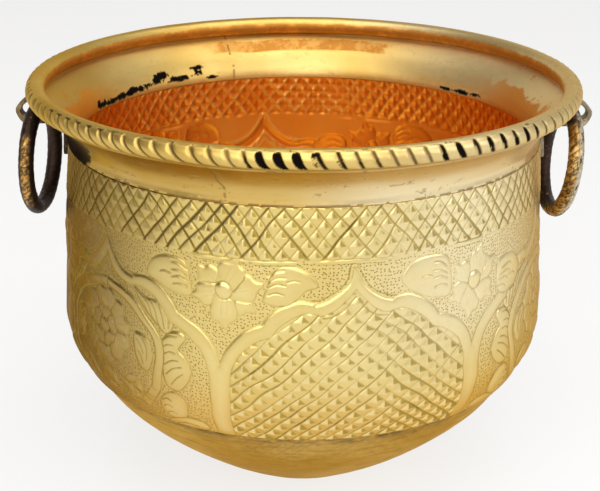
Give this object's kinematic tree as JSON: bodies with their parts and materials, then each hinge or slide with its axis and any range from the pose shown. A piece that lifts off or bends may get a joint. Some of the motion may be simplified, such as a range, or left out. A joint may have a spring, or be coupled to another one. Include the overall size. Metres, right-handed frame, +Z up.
{
  "type": "brass planter",
  "caption": "Round embossed sheet-brass planter with a flared neck, rolled rope-pattern rim, rounded bottom with a small flat, and hanging ring handles at the sides.",
  "frame": {"origin": "centre of the flat base, on the surface the planter stands on", "axes": "+Z up along the planter's axis, X through both ring handles, -Y towards the viewer"},
  "size_m": [0.4216, 0.3998, 0.3073],
  "materials": {
    "dish_brass": "polished sheet gone dull and darker low down",
    "shell_brass": "embossed sheet, hand polished, darker in the hollows",
    "collar_brass": "smooth polished sheet with specks and heat stains",
    "rod_iron": "bare rod, dull",
    "eye_brass": "cast, unpolished, dark patina",
    "ring_brass": "cast, dark patina with rubbed gold high spots"
  },
  "bodies": {
    "pot": {"base_dish": "dish_brass", "wall": "shell_brass", "collar": "collar_brass", "rim_wire": "rod_iron", "handle_eye_left": "eye_brass", "handle_eye_right": "eye_brass"},
    "ring_left": {"ring_handle_left": "ring_brass"},
    "ring_right": {"ring_handle_right": "ring_brass"}
  },
  "joints": [
    {"name": "ring_left_swing", "type": "hinge", "parent": "pot", "child": "ring_left", "pos_m": [-0.1942, 0, 0.279], "axis": [0.1045, 0.9945, 0], "range_deg": [-9.3, 139.2]},
    {"name": "ring_right_swing", "type": "hinge", "parent": "pot", "child": "ring_right", "pos_m": [0.1942, 0, 0.279], "axis": [0.1045, -0.9945, 0], "range_deg": [-0.9, 147.6]}
  ]
}
